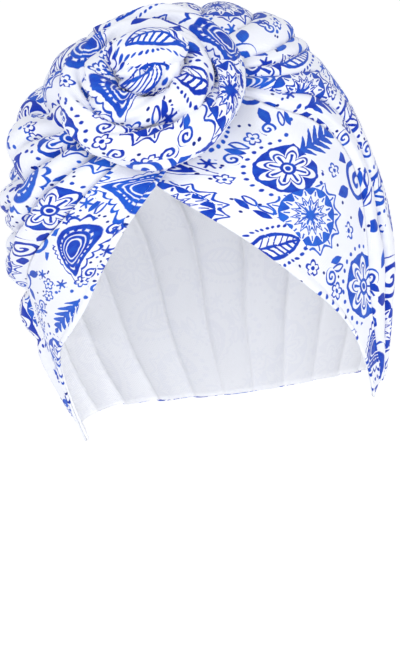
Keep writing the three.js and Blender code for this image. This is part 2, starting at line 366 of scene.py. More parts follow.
def new_piece(name, vertices, faces, face_uv, face_slots):
    """A piece from its vertices and the places of its faces' corners on the flat cloth."""
    mesh = bpy.data.meshes.new(name)
    mesh.from_pydata((vertices * MM).tolist(), [], faces)
    layer = mesh.uv_layers.new(name="cloth")
    layer.data.foreach_set("uv", (face_uv * MM).ravel())
    mesh.polygons.foreach_set("material_index", face_slots)
    return add_piece(name, mesh)


def cloth_piece(name, points, u_start, u_end, v):
    """A wall of cloth about a grid of points: face side in slot 0, reverse in slot 1.

    u_start and u_end give each column of squares its own stretch of print, so the print
    can jump at a crease as cloth does that goes on inside a fold.
    """
    rows, columns = points.shape[:2]
    normals = vertex_normals(points)
    outer = points + normals * CLOTH_WALL / 2
    inner = points - normals * CLOTH_WALL / 2
    vertices = np.concatenate([outer.reshape(-1, 3), inner.reshape(-1, 3)])
    index = np.arange(rows * columns).reshape(rows, columns)
    a, b = index[:-1, :-1], index[1:, :-1]
    c, d = index[1:, 1:], index[:-1, 1:]
    under = rows * columns
    front = np.stack([a, b, c, d], -1).reshape(-1, 4)
    back = np.stack([a, d, c, b], -1).reshape(-1, 4) + under
    uv_a = np.stack([u_start[:-1], v[:-1, :-1]], -1)
    uv_b = np.stack([u_start[1:], v[1:, :-1]], -1)
    uv_c = np.stack([u_end[1:], v[1:, 1:]], -1)
    uv_d = np.stack([u_end[:-1], v[:-1, 1:]], -1)
    uv_front = np.stack([uv_a, uv_b, uv_c, uv_d], 2).reshape(-1, 4, 2)
    uv_back = np.stack([uv_a, uv_d, uv_c, uv_b], 2).reshape(-1, 4, 2)
    rims = []
    rim_uv = []
    edges = [
        (index[:-1, 0], index[1:, 0], uv_a[:, 0], uv_b[:, 0], True),
        (index[:-1, -1], index[1:, -1], uv_d[:, -1], uv_c[:, -1], False),
        (index[0, :-1], index[0, 1:], uv_a[0], uv_d[0], False),
        (index[-1, :-1], index[-1, 1:], uv_b[-1], uv_c[-1], True),
    ]
    for first, second, uv_first, uv_second, flip in edges:
        if flip:
            first, second = second, first
            uv_first, uv_second = uv_second, uv_first
        rims.append(np.stack([first, second, second + under, first + under], -1))
        rim_uv.append(np.stack([uv_first, uv_second, uv_second, uv_first], 1))
    faces = np.concatenate([front, back] + rims)
    face_uv = np.concatenate([uv_front, uv_back] + rim_uv)
    slots = np.zeros(len(faces), np.int32)
    slots[len(front):len(front) + len(back)] = 1
    return new_piece(name, vertices, faces.tolist(), face_uv, slots)


def squares(grid):
    """The four corners of each square of a grid of numbers or points."""
    corners = [grid[:-1, :-1], grid[:-1, 1:], grid[1:, 1:], grid[1:, :-1]]
    return np.stack(corners, 2).reshape(-1, 4, *grid.shape[2:])


def roll_piece(name, rings, twist):
    """A closed roll through rings of points, its print running along it."""
    count, sides = rings.shape[:2]
    loop = np.concatenate([rings, rings[:, :1]], axis=1)
    u = arc_lengths(loop, 1) + twist[:, None]
    v = np.broadcast_to(arc_lengths(rings.mean(axis=1, keepdims=True), 0), u.shape)
    ends = np.stack([rings[0].mean(axis=0), rings[-1].mean(axis=0)])
    vertices = np.concatenate([rings.reshape(-1, 3), ends])
    index = np.arange(count * sides).reshape(count, sides)
    wrap = np.concatenate([index, index[:, :1]], axis=1)
    faces = squares(wrap).tolist()
    end_uv = []
    for ring, middle, order in ((0, count * sides, -1), (count - 1, count * sides + 1, 1)):
        for side in range(sides):
            first, second = (side, side + 1)[::order]
            faces.append([middle, int(wrap[ring, first]), int(wrap[ring, second])])
            end_uv += [(u[ring, at], v[ring, 0]) for at in (first, first, second)]
    face_uv = np.concatenate([squares(np.stack([u, v], -1)).reshape(-1, 2), end_uv])
    return new_piece(name, vertices, faces, face_uv, np.zeros(len(faces), np.int32))


def crown_edges(down):
    seam = np.degrees(SEAM_GAP / (HEAD_HALF_BREADTH * np.sin(np.radians(down))))
    return column(RIGHT_BAND, down, "rear") + seam, column(LEFT_BAND, down, "rear") - seam


def pleat_edge(number, down):
    """Share of the way between the bands where a pleat starts; the last edge is 1."""
    if number == PLEAT_COUNT:
        return np.ones_like(down)
    shift = smooth(down, PLEAT_SHIFT_START, PLEAT_SHIFT_END)
    sweep = smooth(down, PLEAT_SWEEP_START, PLEAT_SWEEP_END)
    edge = mix(PLEATS["at_knot"][number], PLEATS["at_side"][number], shift)
    return mix(edge, PLEATS["at_hem"][number], sweep)


def gathers(down, around):
    """Share by which short creases pull the cloth in where it bunches on the left side."""
    near = smooth(around, GATHER_BACK, GATHER_MIDDLE) * (1 - smooth(around, *GATHER_FRONT))
    total = np.zeros_like(around)
    for place, depth in GATHERS:
        off = (down - place - GATHER_SLANT * (GATHER_CENTRE - around)) / GATHER_WIDTH
        total = total + depth * np.exp(-np.abs(off) ** GATHER_POWER)
    return near * total


def pleat_points(number, step, turn):
    """Points of one pleat: step runs from the knot to the hem, turn across the pleat."""
    sides = [pleat_edge(k, np.array(PLEAT_SHIFT_END)) for k in (number, number + 1)]
    down = down_at(step, CROWN_STATIONS["down"][0], mix(sides[0], sides[1], turn))
    peak = PLEATS["peak"][number]
    across = np.where(turn < 0.5, 2 * turn * peak, peak + (2 * turn - 1) * (1 - peak))
    folding = column(CROWN_STATIONS, down, "fold")
    overhang = PLEAT_OVERHANG * folding
    if number == 0:
        overhang = overhang * smooth(turn, 0, 0.5)
    if number == PLEAT_COUNT - 1:
        overhang = overhang * smooth(1 - turn, 0, 0.5)
    across = across - overhang * np.sin(2 * math.pi * turn)
    share = mix(pleat_edge(number, down), pleat_edge(number + 1, down), across)
    inside = np.clip(share, 0, 1)
    inward = smooth(np.minimum(inside, 1 - inside), 0, EDGE_BLEND_SHARE)
    right, left = crown_edges(down)
    around = mix(right, left, share)
    floors = np.append(PLEATS["floor"], PLEATS["floor"][0])
    floor = mix(floors[number], floors[number + 1], turn)
    profile = mix(floor, PLEATS["crest"][number], np.sin(math.pi * turn) ** PLEATS["slope"][number])
    lift = REST_LIFT + mix(
        SEAM_LOFT * column(CROWN_STATIONS, down, "seam"),
        CROWN_LOFT * column(CROWN_STATIONS, down, "loft"), inward)
    knot_side = np.maximum(0, np.sin(np.radians(around)))
    lift = lift + KNOT_RISE * column(CROWN_STATIONS, down, "rise") * knot_side
    lift = lift + PLEAT_HEIGHT * folding * profile
    lift = REST_LIFT + (lift - REST_LIFT) * (1 - gathers(down, around))
    wrinkle = ripples(down, around * PLEAT_RIPPLE_STRETCH, PLEAT_SEED + number)
    wrinkle = RIPPLE * wrinkle * np.sin(math.pi * turn) ** 0.5
    return cloth_point(down, around, lift + wrinkle * np.minimum(1, folding * 2))


def make_crown():
    step = np.linspace(0, 1, CROWN_ROWS)[:, None]
    grids = []
    starts = []
    ends = []
    lengths = []
    for number in range(PLEAT_COUNT):
        turn = np.linspace(0, 1, FOLD_STEPS + 1)[None, :]
        points = pleat_points(number, step, turn)
        run = arc_lengths(points, 1)
        middle = FOLD_STEPS // 2
        u = run - run[:, middle:middle + 1] + PLEAT_PRINT_STEP * number
        along = arc_lengths(points[:, middle:middle + 1], 0)
        last = number == PLEAT_COUNT - 1
        grids.append(points if last else points[:, :-1])
        starts.append(u[:, :-1])
        ends.append(u[:, 1:])
        v = np.broadcast_to(along, points.shape[:2])
        lengths.append(v if last else v[:, :-1])
    points = np.concatenate(grids, axis=1)
    return cloth_piece("crown_cloth", points, np.concatenate(starts, axis=1),
                       np.concatenate(ends, axis=1), np.concatenate(lengths, axis=1))


def band_points(stations, step, across, crosses_over, seed, raised=0.0):
    """A band lies close at its hem and rises to the pleats at its rear edge."""
    down = down_at(step, stations["down"][0], 0) + 0 * across
    around = mix(column(stations, down, "hem"), column(stations, down, "rear"), across)
    lift = REST_LIFT + SEAM_LOFT * column(CROWN_STATIONS, down, "seam") * across ** 2
    if crosses_over:
        lift = lift + (1 - smooth(down, CROSSING_START, CROSSING_END)) * (CLOTH_WALL + LAYER_GAP)
    hem = np.exp(-((across - HEM_WIDTH) / HEM_WIDTH) ** 2)
    rear = np.exp(-((1 - across) / HEM_WIDTH) ** 2)
    dip = HEM_DIP * np.exp(-((across - STITCH_IN) / HEM_DIP_WIDTH) ** 2)
    gather = 1 - smooth(down, BAND_GATHER_START, BAND_GATHER_END)
    wrinkle = ripples(down, around * BAND_RIPPLE_STRETCH, seed)
    wrinkle = (BAND_RIPPLE + BAND_GATHER * gather) * wrinkle
    lift = lift + np.maximum(wrinkle, -BAND_RIPPLE_DEPTH) * np.sin(math.pi * across) ** 0.5
    lift = lift + HEM_BEAD * (hem + rear) - dip
    return cloth_point(down, around, lift + raised)


def make_band(name, stations, crosses_over, seed):
    step = np.linspace(0, 1, BAND_ROWS)[:, None]
    across = np.linspace(0, 1, BAND_COLUMNS)[None, :]
    if crosses_over:
        across = 1 - across
    points = band_points(stations, step, across, crosses_over, seed)
    u = arc_lengths(points, 1)
    middle = BAND_COLUMNS // 2
    u = u - u[:, middle:middle + 1]
    v = np.broadcast_to(arc_lengths(points[:, middle:middle + 1], 0), u.shape)
    return cloth_piece(name, points, u[:, :-1], u[:, 1:], v)


def stitch_tree(material):
    """Stitches along a line: a round bead at each pitch, drawn out along it."""
    tree = bpy.data.node_groups.new("stitch_row", "GeometryNodeTree")
    tree.interface.new_socket("Line", in_out="INPUT", socket_type="NodeSocketGeometry")
    inputs = {}
    for name in ("Pitch", "Length", "Thread"):
        socket = tree.interface.new_socket(name, in_out="INPUT", socket_type="NodeSocketFloat")
        inputs[name] = socket.identifier
    tree.interface.new_socket("Stitches", in_out="OUTPUT", socket_type="NodeSocketGeometry")
    start = tree.nodes.new("NodeGroupInput")
    curve = tree.nodes.new("GeometryNodeMeshToCurve")
    places = tree.nodes.new("GeometryNodeCurveToPoints")
    places.mode = "LENGTH"
    bead = tree.nodes.new("GeometryNodeMeshUVSphere")
    bead.inputs["Segments"].default_value = STITCH_SIDES
    bead.inputs["Rings"].default_value = STITCH_RINGS
    bead.inputs["Radius"].default_value = 0.5
    size = tree.nodes.new("ShaderNodeCombineXYZ")
    spread = tree.nodes.new("GeometryNodeInstanceOnPoints")
    solid = tree.nodes.new("GeometryNodeRealizeInstances")
    coat = tree.nodes.new("GeometryNodeSetMaterial")
    coat.inputs["Material"].default_value = material
    end = tree.nodes.new("NodeGroupOutput")
    link = tree.links.new
    link(start.outputs["Line"], curve.inputs["Mesh"])
    link(curve.outputs["Curve"], places.inputs["Curve"])
    link(start.outputs["Pitch"], places.inputs["Length"])
    link(places.outputs["Points"], spread.inputs["Points"])
    link(places.outputs["Rotation"], spread.inputs["Rotation"])
    link(bead.outputs["Mesh"], spread.inputs["Instance"])
    link(start.outputs["Thread"], size.inputs["X"])
    link(start.outputs["Thread"], size.inputs["Y"])
    link(start.outputs["Length"], size.inputs["Z"])
    link(size.outputs["Vector"], spread.inputs["Scale"])
    link(spread.outputs["Instances"], solid.inputs["Geometry"])
    link(solid.outputs["Geometry"], coat.inputs["Geometry"])
    link(coat.outputs["Geometry"], end.inputs["Stitches"])
    return tree, inputs


def make_stitches(name, stations, crosses_over, seed, tree, inputs):
    """One row of stitches that holds a band's turned hem beside the front opening."""
    step = np.linspace(0, 1, BAND_ROWS)[:, None]
    across = np.array([[STITCH_IN]])
    line = band_points(stations, step, across, crosses_over, seed, CLOTH_WALL / 2)
    path = bpy.data.meshes.new(name + "_path")
    corners = (line[:, 0] * MM).tolist()
    path.from_pydata(corners, [(k, k + 1) for k in range(len(corners) - 1)], [])
    row = bpy.data.objects.new(name + "_path", path)
    bpy.context.scene.collection.objects.link(row)
    modifier = row.modifiers.new("stitches", "NODES")
    modifier.node_group = tree
    for socket, size in (("Pitch", STITCH_PITCH), ("Length", STITCH_LENGTH), ("Thread", THREAD)):
        modifier[inputs[socket]] = size * MM
    depsgraph = bpy.context.evaluated_depsgraph_get()
    mesh = bpy.data.meshes.new_from_object(row.evaluated_get(depsgraph))
    bpy.data.objects.remove(row)
    mesh.name = name
    piece = add_piece(name, mesh)
    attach(piece, BODY)
    return piece


def rosette_axes():
    turn = math.radians(ROSETTE_TURN_ASIDE)
    rise = math.radians(ROSETTE_ELEVATION)
    out = np.array([math.sin(turn) * math.cos(rise), -math.cos(turn) * math.cos(rise), math.sin(rise)])
    right = unit(np.cross([0, 0, 1], out))
    return out, right, unit(np.cross(out, right))


ROSETTE_OUT, ROSETTE_RIGHT, ROSETTE_UP = rosette_axes()
ROSETTE_CENTRE = (front_of_form(ROSETTE_SEAT_ELEVATION) + ROSETTE_OUT * ROSETTE_SEAT
                  + ROSETTE_RIGHT * ROSETTE_ASIDE - np.array([0, 0, CROWN_TOP]))


def rosette_point(aside, up, height):
    return (ROSETTE_CENTRE + ROSETTE_OUT * np.asarray(height)[..., None]
            + ROSETTE_RIGHT * np.asarray(aside)[..., None] + ROSETTE_UP * np.asarray(up)[..., None])


def make_coil():
    turn = np.linspace(0, COIL_TURNS, ROLL_RINGS)[:, None]
    around = np.linspace(0, 2 * math.pi, ROLL_SIDES, endpoint=False)[None, :]
    angle = np.radians(COIL_START_ANGLE - 360 * turn)
    start = mix(ROLL_START, 1, smooth(turn, 0, ROLL_START_TURNS))
    end = mix(ROLL_END, 1, smooth(COIL_TURNS - turn, 0, ROLL_END_TURNS))
    swell = 1 + ROLL_SWELL * np.sin(2 * math.pi * ROLL_SWELLS * turn)
    full = start * end * swell
    twist = 2 * math.pi * ROLL_TWISTS * turn
    fold = np.abs(np.cos(ROLL_FOLDS / 2 * around + twist)) ** ROLL_FOLD_POWER - ROLL_FOLD_MEAN
    crease = CREASE_SHARE * np.sin(CREASES_ROUND * around + CREASE_TWISTS * twist)
    crease = crease * np.sin(CREASE_SWELLS * turn * 2 * math.pi)
    pull = 1 + ROLL_GROOVE * (fold + crease)
    out = full * ROLL_ACROSS / 2 * pull * np.cos(around)
    up = full * ROLL_TALL / 2 * pull * np.sin(around)
    radius = COIL_RADIUS - COIL_PITCH * turn + out
    height = COIL_RISE * (turn - COIL_LOWEST_TURN) + up
    rings = rosette_point(radius * np.cos(angle), radius * np.sin(angle), height)
    return roll_piece("rosette_roll", rings, (twist * ROLL_ACROSS / 2).ravel())


def make_bud():
    polar = np.linspace(BUD_POLE, math.pi - BUD_POLE, BUD_RINGS)[:, None]
    around = np.linspace(0, 2 * math.pi, BUD_SIDES, endpoint=False)[None, :]
    x = np.cos(polar) + 0 * around
    y = np.sin(polar) * np.cos(around)
    z = np.sin(polar) * np.sin(around)
    off_fold = (y - BUD_FOLD_UP - BUD_FOLD_SLANT * x) / BUD_FOLD_WIDTH
    off_curl = (x - BUD_CURL_ASIDE) ** 2 + (y - BUD_CURL_UP) ** 2
    fold = np.exp(-off_fold ** 2) * np.maximum(z, 0)
    curl = np.exp(-off_curl / BUD_CURL_SPREAD) * np.maximum(z, 0)
    ripple = BUD_RIPPLE * np.sin(BUD_RIPPLES_ROUND * around + BUD_RIPPLES_ALONG * x)
    size = 1 - BUD_FOLD * fold - BUD_CURL * curl + ripple
    aside = BUD_ASIDE + BUD_LONG / 2 * x * size
    up = BUD_UP + BUD_WIDE / 2 * y * size
    rings = rosette_point(aside, up, BUD_RISE + BUD_TALL / 2 * z * size)
    return roll_piece("rosette_tuck", rings[::-1], np.zeros(BUD_RINGS))


class Field:
    """One number all over the cloth, worked out by shader nodes: arithmetic adds nodes."""

    def __init__(self, tree, socket):
        self.tree = tree
        self.socket = socket

    def join(self, operation, *others, clamp=False):
        node = self.tree.nodes.new("ShaderNodeMath")
        node.operation = operation
        node.use_clamp = clamp
        for slot, value in enumerate((self,) + others):
            if isinstance(value, Field):
                self.tree.links.new(value.socket, node.inputs[slot])
            else:
                node.inputs[slot].default_value = value
        return Field(self.tree, node.outputs[0])

    def __add__(self, other):
        return self.join("ADD", other)

    def __sub__(self, other):
        return self.join("SUBTRACT", other)

    def __mul__(self, other):
        return self.join("MULTIPLY", other)

    def __truediv__(self, other):
        return self.join("DIVIDE", other)

    def __abs__(self):
        return self.join("ABSOLUTE")

    def scale_add(self, factor, offset):
        return self.join("MULTIPLY_ADD", factor, offset)

    def sine(self):
        return self.join("SINE")

    def part(self):
        return self.join("FRACT")

    def root(self):
        return self.join("SQRT")

    def above(self, limit):
        return self.join("GREATER_THAN", limit)

    def below(self, limit):
        return self.join("LESS_THAN", limit)

    def highest(self, other):
        return self.join("MAXIMUM", other)


# Print. A large motif reaches over an ellipse of LARGE_SIZES, half its width and half its
# length, and smaller motifs and dots keep clear of it. The jitters are shares of a cell.
INK_SOFTNESS = 0.28
INK_SPREAD = 0.17
LARGE_SCALE = 1.22
LARGE_CELL = 37.0
LARGE_JITTER = 0.5
LARGE_SIZES = ((17.5, 17.5), (10.0, 15.5), (11.0, 16.5), (15.0, 15.0), (16.0, 16.0), (9.0, 16.0))
SMALL_CELL = 8.8
SMALL_JITTER = 0.7
SMALL_REACH = 4.9
SMALL_CLEARANCE = 3.4
DOT_CELL = 4.8
DOT_JITTER = 0.8
DOT_CLEARANCE = 0.8
DOT_SIZE = 0.62
WOBBLE = 1.1
WOBBLE_SCALE = 210
LIGHT_BY_MOTIF = 0.6
LIGHT_BY_PLACE = 0.7


def ink(distance, half_width):
    """1 on a line of that half width in millimetres, with a soft edge."""
    edge = (half_width + INK_SPREAD) / INK_SOFTNESS + 0.5
    return distance.join("MULTIPLY_ADD", -1 / INK_SOFTNESS, edge, clamp=True)


def layered(*inks):
    """Ink where any of these has ink."""
    total = inks[0]
    for other in inks[1:]:
        total = total.highest(other)
    return total


def dots_along(turn, count, pitch, off, size):
    """Dots along a closed line, where off is the distance from it."""
    side = (turn * count).part().scale_add(pitch, -pitch / 2)
    return ink((side * side + off * off).root(), size)


def ring_of_dots(radius, turn, at, count, size):
    return dots_along(turn, count, 2 * math.pi * at / count, radius - at, size)


def spiral_line(radius, turn, pitch, half_width, reach):
    within = (radius / pitch - turn).part() - 0.5
    return ink(abs(within) * pitch, half_width) * radius.below(reach)


def leaf_width(y, half_length, half_width):
    """Half the width of a leaf at a distance from its middle, below 0 past its tips."""
    t = y / half_length
    return (t * t).scale_add(-half_width, half_width)


def cells(tree, vector, size, randomness):
    """The middle, distance and random colour of cells about that many millimetres wide."""
    node = tree.nodes.new("ShaderNodeTexVoronoi")
    node.voronoi_dimensions = "2D"
    node.inputs["Scale"].default_value = 1 / (size * MM)
    node.inputs["Randomness"].default_value = randomness
    tree.links.new(vector, node.inputs["Vector"])
    return node


def local_axes(tree, vector, node, scale=1.0):
    """Place in a cell in millimetres, turned at random, and two more random numbers.

    The place is given as x, y, radius, and turn as a share of a full turn.
    """
    away = tree.nodes.new("ShaderNodeVectorMath")
    away.operation = "SUBTRACT"
    tree.links.new(vector, away.inputs[0])
    tree.links.new(node.outputs["Position"], away.inputs[1])
    flat = tree.nodes.new("ShaderNodeVectorMath")
    flat.operation = "MULTIPLY"
    flat.inputs[1].default_value = (1 / MM / scale, 1 / MM / scale, 0)
    tree.links.new(away.outputs[0], flat.inputs[0])
    chance = tree.nodes.new("ShaderNodeSeparateColor")
    tree.links.new(node.outputs["Color"], chance.inputs[0])
    angle = Field(tree, chance.outputs[0]) * (2 * math.pi)
    rotate = tree.nodes.new("ShaderNodeVectorRotate")
    rotate.rotation_type = "Z_AXIS"
    tree.links.new(flat.outputs[0], rotate.inputs["Vector"])
    tree.links.new(angle.socket, rotate.inputs["Angle"])
    split = tree.nodes.new("ShaderNodeSeparateXYZ")
    tree.links.new(rotate.outputs[0], split.inputs[0])
    x = Field(tree, split.outputs[0])
    y = Field(tree, split.outputs[1])
    radius = (x * x + y * y).root()
    turn = y.join("ARCTAN2", x) / (2 * math.pi)
    return x, y, radius, turn, Field(tree, chance.outputs[1]), Field(tree, chance.outputs[2])


def dahlia(x, y, radius, turn, petals=14, ring=4.3, reach=17.2, dark_ring=2.0, strokes=9):
    """Rings of pointed petals, each ring set half a petal round from the last."""
    level = radius / ring
    number = level.join("FLOOR")
    within = level.part()
    wave = abs((turn * (math.pi * petals) + number * (math.pi / 2)).sine())
    edge = wave.scale_add(-0.72, 0.95)
    outline = ink(abs(within - edge) * ring, 0.42)
    vein = ink(wave * radius * 0.28, 0.46) * within.below(0.55)
    dark = within.above(edge) * number.join("COMPARE", dark_ring, 0.4)
    heart = ink(abs((turn * strokes).part() - 0.5) * radius * 0.7, 0.35) * radius.below(ring)
    return layered(outline, vein, dark, heart) * radius.below(reach)


def leaf(x, y, radius, turn, half_length=11.0, half_width=5.2, hatching=2.3, dots=28):
    """A hatched leaf with a midrib, ringed by dots."""
    width = leaf_width(y, half_length, half_width)
    beside = abs(x)
    outline = ink(abs(beside - width), 0.62)
    rib = ink(beside, 0.4)
    slant = ((y + beside * 0.8) * hatching).sine()
    hatch = slant.above(0.25) * x.above(0.0) * beside.below(width)
    loops = slant.above(0.72) * beside.below(width)
    body = layered(outline, rib, hatch, loops) * width.above(0.0)
    oval = ((x * x) / 72.0 + (y * y) / 210.0).root()
    return body.highest(dots_along(turn, dots, 2.6, (oval - 1.0) * 9.5, 0.66))


def paisley(x, y, radius, turn, half_length=13.0, half_width=7.5, beads=18, scallops=17):
    """A bent drop with nested outlines, a beaded line and a scalloped border."""
    lean = y + 4.0
    bent = x - lean * lean * 0.03
    t = y / half_length
    taper = t.scale_add(-0.55, 1.0) * half_width
    level = ((bent / taper) * (bent / taper) + t * t).root()
    outer = ink(abs(level - 0.92) * half_width, 0.7)
    inner = ink(abs(level - 0.66) * half_width, 0.38)
    bead_line = dots_along(turn, beads, 2.4, (level - 0.79) * half_width, 0.46)
    heart = ink(level * half_width - 2.2, 0.3) + ink(abs(level * half_width - 3.6), 0.3)
    scallop = abs((turn * (math.pi * scallops)).sine()).scale_add(-1.6, 0)
    border = ink(abs((level - 1.24) * half_width + scallop), 0.42)
    return layered(outer, inner, bead_line, heart, border)


def spiral(x, y, radius, turn, pitch=4.4, reach=8.6, leaves=5, leaf_length=8.0, leaf_half=2.3):
    """A spiral with leaves round it."""
    out = radius - reach
    width = (out / leaf_length * math.pi).sine() * leaf_half
    side = abs((turn * leaves).part() - 0.5) * radius * (2 * math.pi / leaves)
    blade = ink(side - width, 0.0) * out.above(0.0) * out.below(leaf_length)
    return spiral_line(radius, turn, pitch, 0.8, reach).highest(blade)


def blossom(x, y, radius, turn, petals=8, size=12.0, dots=24):
    """A round flower of looped petals on a filled ground, with a ring of dots."""
    wave = abs((turn * (math.pi * petals)).join("COSINE"))
    reach = wave.scale_add(0.42 * size, 0.6 * size)
    petal = ink(abs(radius - reach), 0.55)
    ground = radius.above(reach) * radius.below(1.04 * size)
    second = ink(abs(radius - reach * 0.72), 0.36)
    stroke = ink((wave - 1.0) * -1.0 * radius * 1.4, 0.4) * radius.below(size * 0.62)
    eye = ink(abs(radius - 2.6), 0.5).highest(ink(radius, 1.1))
    ring = ring_of_dots(radius, turn, size + 3.2, dots, 0.66)
    return layered(petal, ground, second, stroke * radius.above(3.2), eye, ring)


def fern(x, y, radius, turn, half_length=13.0, half_width=6.5, dots=11):
    """A stem with slanting leaves on both sides."""
    beside = abs(x)
    width = leaf_width(y, half_length, half_width)
    lobe = abs(((y - beside * 0.9) * 0.72).sine())
    leaves = ink(beside - lobe * width, 0.0) * ink(lobe * -3.0 + 1.5, 0.6)
    stem = ink(beside, 0.5)
    tips = ring_of_dots(radius, turn, half_length + 2.2, dots, 0.8)
    return (leaves.highest(stem) * width.above(0.0)).highest(tips)


def sprig(x, y, radius, turn, points=6, dots=5):
    """A small star of strokes in a ring of dots."""
    wave = abs((turn * (math.pi * points)).sine())
    strokes = ink(wave * radius * 0.34, 0.36) * radius.below(3.6)
    return strokes.highest(ring_of_dots(radius, turn, 4.9, dots, 0.55))


def small_leaf(x, y, radius, turn, half_length=4.4, half_width=1.5):
    """A pair of small leaves, the one filled and the other in outline."""
    width = leaf_width(y, half_length, half_width)
    filled = ink(abs(x - 1.7) - width, 0.0)
    outline = ink(abs(abs(x + 1.9) - width), 0.36)
    return filled.highest(outline) * width.above(0.0)


def small_flower(x, y, radius, turn, petals=5):
    wave = abs((turn * (math.pi * petals)).join("COSINE"))
    reach = wave.scale_add(1.7, 2.1)
    return ink(abs(radius - reach), 0.42).highest(ink(radius, 0.9))


def small_curl(x, y, radius, turn):
    return spiral_line(radius, turn, 2.6, 0.48, 4.2)


LARGE_MOTIFS = (dahlia, leaf, paisley, spiral, blossom, fern)
SMALL_MOTIFS = (sprig, small_leaf, small_flower, small_curl)


def picked(pick, number, count):
    """1 where a cell's random number picks that one of so many."""
    half = 0.5 / count
    return pick.join("COMPARE", (2 * number + 1) * half, half)


def choose(motifs, place):
    """Each cell draws the motif that its random number picks."""
    x, y, radius, turn, pick, _ = place
    return layered(*[motif(x, y, radius, turn) * picked(pick, number, len(motifs))
                     for number, motif in enumerate(motifs)])


def clear_of_large(tree, vector, margin):
    """1 where a place stays that many millimetres outside the large motif of its cell."""
    node = cells(tree, vector, LARGE_CELL, LARGE_JITTER)
    x, y, _, _, pick, _ = local_axes(tree, vector, node, LARGE_SCALE)
    clear = []
    for number, (half_width, half_length) in enumerate(LARGE_SIZES):
        aside = x / (half_width + margin)
        along = y / (half_length + margin)
        outside = (aside * aside + along * along).above(1.0)
        clear.append(outside * picked(pick, number, len(LARGE_SIZES)))
    return layered(*clear)


def print_fields(tree, offset):
    """The printed pattern: how much ink, how much of it is dark, and how light the blue is."""
    uv = tree.nodes.new("ShaderNodeUVMap")
    uv.uv_map = "cloth"
    wobble = tree.nodes.new("ShaderNodeTexNoise")
    wobble.noise_dimensions = "2D"
    wobble.inputs["Scale"].default_value = WOBBLE_SCALE
    tree.links.new(uv.outputs[0], wobble.inputs["Vector"])
    shake = tree.nodes.new("ShaderNodeVectorMath")
    shake.operation = "MULTIPLY_ADD"
    shake.inputs[1].default_value = (WOBBLE * MM, WOBBLE * MM, 0)
    shake.inputs[2].default_value = (*offset, 0)
    tree.links.new(wobble.outputs["Color"], shake.inputs[0])
    place = tree.nodes.new("ShaderNodeVectorMath")
    place.operation = "ADD"
    tree.links.new(uv.outputs[0], place.inputs[0])
    tree.links.new(shake.outputs[0], place.inputs[1])
    vector = place.outputs[0]
    large = cells(tree, vector, LARGE_CELL, LARGE_JITTER)
    large_place = local_axes(tree, vector, large, LARGE_SCALE)
    large_ink = choose(LARGE_MOTIFS, large_place)
    small = cells(tree, vector, SMALL_CELL, SMALL_JITTER)
    small_ink = choose(SMALL_MOTIFS, local_axes(tree, vector, small))
    small_ink = small_ink * clear_of_large(tree, small.outputs["Position"], SMALL_CLEARANCE)
    dot = cells(tree, vector, DOT_CELL, DOT_JITTER)
    near_small = cells(tree, dot.outputs["Position"], SMALL_CELL, SMALL_JITTER)
    alone = clear_of_large(tree, dot.outputs["Position"], DOT_CLEARANCE)
    alone = alone * Field(tree, near_small.outputs["Distance"]).above(SMALL_REACH / SMALL_CELL)
    dots = ink(Field(tree, dot.outputs["Distance"]) * DOT_CELL, DOT_SIZE) * alone
    light = large_place[5] * LIGHT_BY_MOTIF + Field(tree, wobble.outputs["Fac"]) * LIGHT_BY_PLACE
    return layered(large_ink, small_ink, dots), dots, light


# Sockets of the Mix node that carry the share and its two colours
MIX_SHARE = 0
MIX_FIRST = 6
MIX_SECOND = 7
MIXED = 2


def mix_colour(tree, share, first, second):
    node = tree.nodes.new("ShaderNodeMix")
    node.data_type = "RGBA"
    for value, slot in ((share, MIX_SHARE), (first, MIX_FIRST), (second, MIX_SECOND)):
        if isinstance(value, Field):
            tree.links.new(value.socket, node.inputs[slot])
        elif isinstance(value, bpy.types.NodeSocket):
            tree.links.new(value, node.inputs[slot])
        else:
            node.inputs[slot].default_value = value
    return node.outputs[MIXED]


# Colours of the cloth, its reverse, the ink and the thread
WHITE = (0.80, 0.815, 0.87, 1)
SHADE_WHITE = (0.72, 0.74, 0.83, 1)
# The reverse's two whites are paler than the face's: painted light that brightens the inside of the
# wrap, which lies in shade
REVERSE_WHITE_PAINTED_LIGHT = (0.90, 0.91, 0.94, 1)
REVERSE_PATCH_WHITE_PAINTED_LIGHT = (0.86, 0.87, 0.92, 1)
ROYAL = (0.003, 0.030, 0.38, 1)
SKY = (0.018, 0.130, 0.62, 1)
NAVY = (0.003, 0.010, 0.14, 1)
THREAD_WHITE = (0.80, 0.82, 0.88, 1)

# How the blue changes, how far the white is shaded, and how much the print shows through
LIGHT_CONTRAST = 1.4
LIGHT_START = -0.6
DOT_DARKNESS = 0.8
PATCH_SCALE = 38
PATCH_SHADE = 0.5
SHOW_THROUGH = 0.03

# Surface of the jersey and of the thread, with the pitch of the knit's wales and courses
WALE = 0.9
COURSE = 1.1
WALE_SHARE = 0.6
KNIT_RELIEF = 0.12
KNIT_STRENGTH = 0.35
JERSEY_ROUGHNESS = 0.78
JERSEY_PATCHES = 0.12
JERSEY_GLOSS = {"Sheen Weight": 0.12, "Sheen Roughness": 0.5, "Specular IOR Level": 0.12}
THREAD_ROUGHNESS = 0.6
PLY_SCALE = 900
PLY_RELIEF = 0.05

# The stretch of the endless print that each piece is cut from, in metres, chosen one by one
CROWN_PRINT = (2.77, 1.91)
RIGHT_BAND_PRINT = (0.71, 3.32)
LEFT_BAND_PRINT = (2.63, 0.52)
ROSETTE_PRINT = (1.67, 0.13)
REVERSE_PRINT = (0.11, 0.23)


def plain(name, colour, roughness):
    material = bpy.data.materials.new(name)
    material.use_nodes = True
    shader = material.node_tree.nodes["Principled BSDF"]
    shader.inputs["Base Color"].default_value = colour
    shader.inputs["Roughness"].default_value = roughness
    return material


